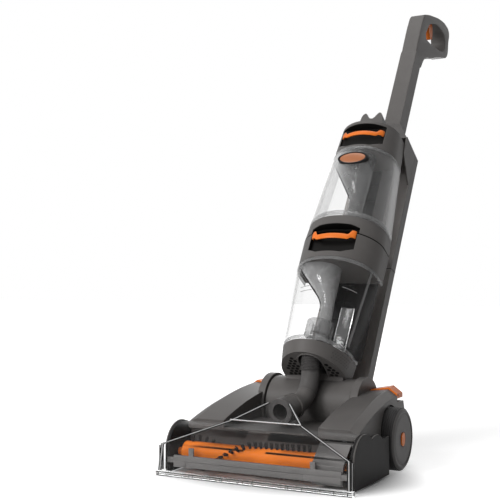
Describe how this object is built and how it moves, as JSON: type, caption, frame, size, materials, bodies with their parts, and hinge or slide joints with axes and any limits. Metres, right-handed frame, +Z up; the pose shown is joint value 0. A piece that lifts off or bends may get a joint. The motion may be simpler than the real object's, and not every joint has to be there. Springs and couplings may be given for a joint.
{
  "type": "upright carpet cleaner",
  "caption": "Upright carpet cleaner with clear tanks one above the other on a reclining column, a loop handle, and a wheeled floor head with clear suction nozzle and brush rolls.",
  "frame": {"origin": "middle of the suction lip's flat sole, on the floor", "axes": "+Z up from the floor, +Y from the suction lip back to the wheels and handle, +X to the drive side, which is on the right when seen from the front in the picture"},
  "size_m": [0.33, 0.9839, 0.9129],
  "materials": {
    "clear": "gloss",
    "smoke": "gloss",
    "charcoal": "satin",
    "dark": "satin",
    "grey": "satin",
    "hose": "matte",
    "orange": "satin",
    "bristle": "matte",
    "belt": "matte",
    "wheel": "satin",
    "pulley": "satin",
    "motor": "satin",
    "motor_light": "satin",
    "steel": "satin"
  },
  "bodies": {
    "base": {"suction_lip": "clear", "suction_channel": "clear", "left_nozzle_cover": "clear", "right_nozzle_cover": "clear", "left_end_panel": "dark", "right_end_panel": "dark", "front_crossbar": "grey", "timing_belt": "belt", "drive_belt": "belt", "brush_motor": "motor", "drive_case": "grey", "chassis": "dark", "left_arm": "charcoal", "right_arm": "charcoal", "pedal_pins": "steel", "deck": "charcoal", "axles": "steel", "pump": "motor_light", "neck_seal": "hose", "hose_cuff": "grey", "hose_elbow": "grey", "hose_bellows": "hose"},
    "front_brush": {"front_brush_core": "orange", "front_bristles": "bristle", "front_timing_pulley": "pulley"},
    "rear_brush": {"rear_brush_core": "orange", "rear_bristles": "bristle", "rear_double_pulley": "pulley"},
    "drive_pulley": {"motor_pulley": "pulley"},
    "left_wheel_body": {"left_wheel": "wheel", "left_hub_cap": "orange"},
    "right_wheel_body": {"right_wheel": "wheel", "right_hub_cap": "orange"},
    "left_pedal_body": {"left_pedal": "orange"},
    "right_pedal_body": {"right_pedal": "orange"},
    "upright": {"motor_barrel": "charcoal", "suction_motor": "motor_light", "platform": "charcoal", "vent_plate": "dark", "spine_panel": "dark", "spine_cover": "charcoal", "spine_screws": "steel", "cord_gland": "hose", "hood": "charcoal", "tool_rest": "charcoal", "handle_tube": "charcoal", "handle_loop": "charcoal", "mid_shelf": "charcoal"},
    "fan_body": {"fan": "pulley"},
    "trigger_body": {"trigger": "orange"},
    "lower_tank_body": {"lower_tank": "clear", "lower_cap": "charcoal", "separator": "smoke"},
    "lower_latch_body": {"lower_latch": "orange"},
    "float_body": {"tank_float": "smoke"},
    "upper_tank_body": {"upper_tank": "clear", "upper_cap": "charcoal", "funnel": "smoke", "badge": "orange"},
    "upper_latch_body": {"upper_latch": "orange"}
  },
  "joints": [
    {"name": "recline", "type": "hinge", "parent": "base", "child": "upright", "pos_m": [0, 0.244, 0.09], "axis": [-1, 0, 0], "range_deg": [-24, 45], "deforming": ["hose_bellows"]},
    {"name": "left_wheel_spin", "type": "hinge", "parent": "base", "child": "left_wheel_body", "pos_m": [0, 0.211, 0.05], "axis": [1, 0, 0], "continuous": true},
    {"name": "right_wheel_spin", "type": "hinge", "parent": "base", "child": "right_wheel_body", "pos_m": [0, 0.211, 0.05], "axis": [1, 0, 0], "continuous": true},
    {"name": "front_brush_spin", "type": "hinge", "parent": "base", "child": "front_brush", "pos_m": [0, 0.047, 0.031], "axis": [1, 0, 0], "continuous": true},
    {"name": "rear_brush_spin", "type": "hinge", "parent": "base", "child": "rear_brush", "pos_m": [0, 0.107, 0.031], "axis": [1, 0, 0], "continuous": true},
    {"name": "drive_pulley_spin", "type": "hinge", "parent": "base", "child": "drive_pulley", "pos_m": [0, 0.168, 0.041], "axis": [1, 0, 0], "continuous": true},
    {"name": "left_pedal_press", "type": "hinge", "parent": "base", "child": "left_pedal_body", "pos_m": [0, 0.262, 0.113], "axis": [-1, 0, 0], "range_deg": [0, 8], "stiffness_Nm_per_rad": 0.6, "springref_deg": -5.73},
    {"name": "right_pedal_press", "type": "hinge", "parent": "base", "child": "right_pedal_body", "pos_m": [0, 0.262, 0.113], "axis": [-1, 0, 0], "range_deg": [0, 8], "stiffness_Nm_per_rad": 0.6, "springref_deg": -5.73},
    {"name": "fan_spin", "type": "hinge", "parent": "upright", "child": "fan_body", "pos_m": [0, 0.244, 0.09], "axis": [1, 0, 0], "continuous": true},
    {"name": "trigger_pull", "type": "hinge", "parent": "upright", "child": "trigger_body", "pos_m": [0, 0.86023, 0.89091], "axis": [1, 0, 0], "range_deg": [0, 12], "stiffness_Nm_per_rad": 0.3, "springref_deg": -8.59},
    {"name": "lower_tank_off", "type": "slide", "parent": "upright", "child": "lower_tank_body", "axis": [0, -0.848, 0.5299], "range_m": [0, 0.2]},
    {"name": "upper_tank_off", "type": "slide", "parent": "upright", "child": "upper_tank_body", "axis": [0, -0.848, 0.5299], "range_m": [0, 0.2]},
    {"name": "lower_latch_press", "type": "slide", "parent": "lower_tank_body", "child": "lower_latch_body", "axis": [0, -0.5299, -0.848], "range_m": [0, 0.004], "stiffness_N_per_m": 400, "springref_m": -0.003},
    {"name": "upper_latch_press", "type": "slide", "parent": "upper_tank_body", "child": "upper_latch_body", "axis": [0, -0.5299, -0.848], "range_m": [0, 0.004], "stiffness_N_per_m": 400, "springref_m": -0.003},
    {"name": "float_rise", "type": "slide", "parent": "lower_tank_body", "child": "float_body", "axis": [0, 0.5299, 0.848], "range_m": [0, 0.036]}
  ],
  "couplings": [
    {"joint": "rear_brush_spin", "follows": "front_brush_spin", "ratio": 1},
    {"joint": "drive_pulley_spin", "follows": "front_brush_spin", "ratio": 2}
  ]
}
